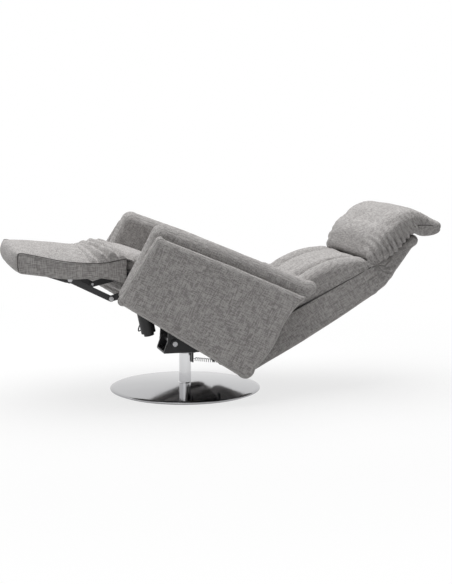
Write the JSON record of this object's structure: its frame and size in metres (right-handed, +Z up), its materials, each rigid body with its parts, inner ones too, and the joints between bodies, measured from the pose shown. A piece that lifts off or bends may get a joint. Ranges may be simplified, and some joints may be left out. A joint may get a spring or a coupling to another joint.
{
  "type": "swivel recliner armchair",
  "caption": "Swivel recliner on a round chrome foot, lying flat: powered back and footrest with crank links, tilting seat, hinged head section and grey woven upholstery.",
  "frame": {"origin": "on the floor, under the swivel axis, at the centre of the round foot", "axes": "+Z up, +Y towards the head end so that the sitter faces -Y, +X to the sitter's left"},
  "size_m": [0.77, 1.6972, 0.7233],
  "materials": {
    "floor_felt": "felt",
    "chrome": "polished",
    "bright_steel": "zinc plated",
    "spring_steel": "bright",
    "bush_plastic": "satin",
    "black_steel": "powder coat",
    "webbing": "woven",
    "board": "plain",
    "black_plastic": "matte",
    "lead_sheath": "matte",
    "grey_fabric": "woven melange"
  },
  "bodies": {
    "base": {"floor_pad": "floor_felt", "base_disc": "chrome", "column": "chrome", "column_bolts": "bright_steel", "column_bushes": "bush_plastic"},
    "turret": {"spindle": "bright_steel", "turret_yoke": "black_steel", "turret_bolts": "bright_steel", "tilt_shaft": "bright_steel", "tilt_nuts": "black_steel", "spring_bracket": "black_steel", "balance_spring": "spring_steel"},
    "seat": {"side_rail_left": "black_steel", "side_rail_right": "black_steel", "rail_bushes": "bush_plastic", "front_crossbar": "black_steel", "mid_crossbar": "black_steel", "rear_crossbar": "black_steel", "tilt_plate_left": "black_steel", "tilt_plate_right": "black_steel", "tilt_bushes": "bush_plastic", "seat_webbing": "webbing", "seat_cushion": "grey_fabric", "arm_stubs": "black_steel", "arm_pad_left": "grey_fabric", "arm_pad_right": "grey_fabric", "arm_board_left": "board", "arm_board_right": "board", "arm_panel_left": "grey_fabric", "arm_panel_right": "grey_fabric", "footrest_motor": "black_plastic", "back_motor": "black_plastic", "control_box": "black_plastic", "motor_lead": "lead_sheath", "switch_plate": "black_plastic"},
    "footrest_rocker": {"footrest_rocker": "black_plastic"},
    "back_rocker": {"back_rocker": "black_plastic"},
    "crank": {"crank_shaft": "black_steel", "crank_pins": "bright_steel"},
    "links": {"footrest_link_left": "black_steel", "footrest_link_right": "black_steel"},
    "footrest": {"footrest_board": "board", "footrest_bracket_left": "black_steel", "footrest_bracket_right": "black_steel", "footrest_pins": "bright_steel", "knee_bolts": "bright_steel", "knee_roll": "grey_fabric", "knee_tube": "black_steel", "footrest_pad": "grey_fabric"},
    "back": {"back_shaft": "bright_steel", "back_side_left": "black_steel", "back_side_right": "black_steel", "back_crossbars": "black_steel", "back_shell": "grey_fabric", "back_cushion": "grey_fabric", "back_bolster_left": "grey_fabric", "back_bolster_right": "grey_fabric"},
    "head": {"head_frame": "black_steel", "head_shell": "grey_fabric", "headrest_pillow": "grey_fabric"}
  },
  "joints": [
    {"name": "swivel", "type": "hinge", "parent": "base", "child": "turret", "pos_m": [0, 0, 0.15], "axis": [0, 0, 1], "continuous": true},
    {"name": "seat_tilt", "type": "hinge", "parent": "turret", "child": "seat", "pos_m": [0, -0.06, 0.2], "axis": [1, 0, 0], "range_deg": [0, 21], "deforming": ["balance_spring"]},
    {"name": "back_recline", "type": "hinge", "parent": "seat", "child": "back", "pos_m": [0, 0.21922, 0.23821], "axis": [1, 0, 0], "range_deg": [0, 28]},
    {"name": "head_tilt", "type": "hinge", "parent": "back", "child": "head", "pos_m": [0, 0.74157, 0.4499], "axis": [1, 0, 0], "range_deg": [-25, 0]},
    {"name": "footrest_fold", "type": "hinge", "parent": "seat", "child": "footrest", "pos_m": [0, -0.34757, 0.52452], "axis": [1, 0, 0], "range_deg": [0, 65]},
    {"name": "crank_turn", "type": "hinge", "parent": "seat", "child": "crank", "pos_m": [0, -0.19315, 0.44652], "axis": [1, 0, 0], "range_deg": [0, 65]},
    {"name": "link_turn", "type": "hinge", "parent": "crank", "child": "links", "pos_m": [0, -0.33463, 0.40819], "axis": [1, 0, 0], "range_deg": [-65, 0]},
    {"name": "footrest_rocker", "type": "hinge", "parent": "seat", "child": "footrest_rocker", "pos_m": [0.2476, -0.10983, 0.58928], "axis": [0, 0.4509, 0.8926], "range_deg": [-6, 6], "stiffness_Nm_per_rad": 0.05},
    {"name": "back_rocker", "type": "hinge", "parent": "seat", "child": "back_rocker", "pos_m": [0.2476, -0.07413, 0.57125], "axis": [0, 0.4509, 0.8926], "range_deg": [-6, 6], "stiffness_Nm_per_rad": 0.05}
  ],
  "couplings": [
    {"joint": "crank_turn", "follows": "footrest_fold", "ratio": 1},
    {"joint": "link_turn", "follows": "footrest_fold", "ratio": -1}
  ]
}
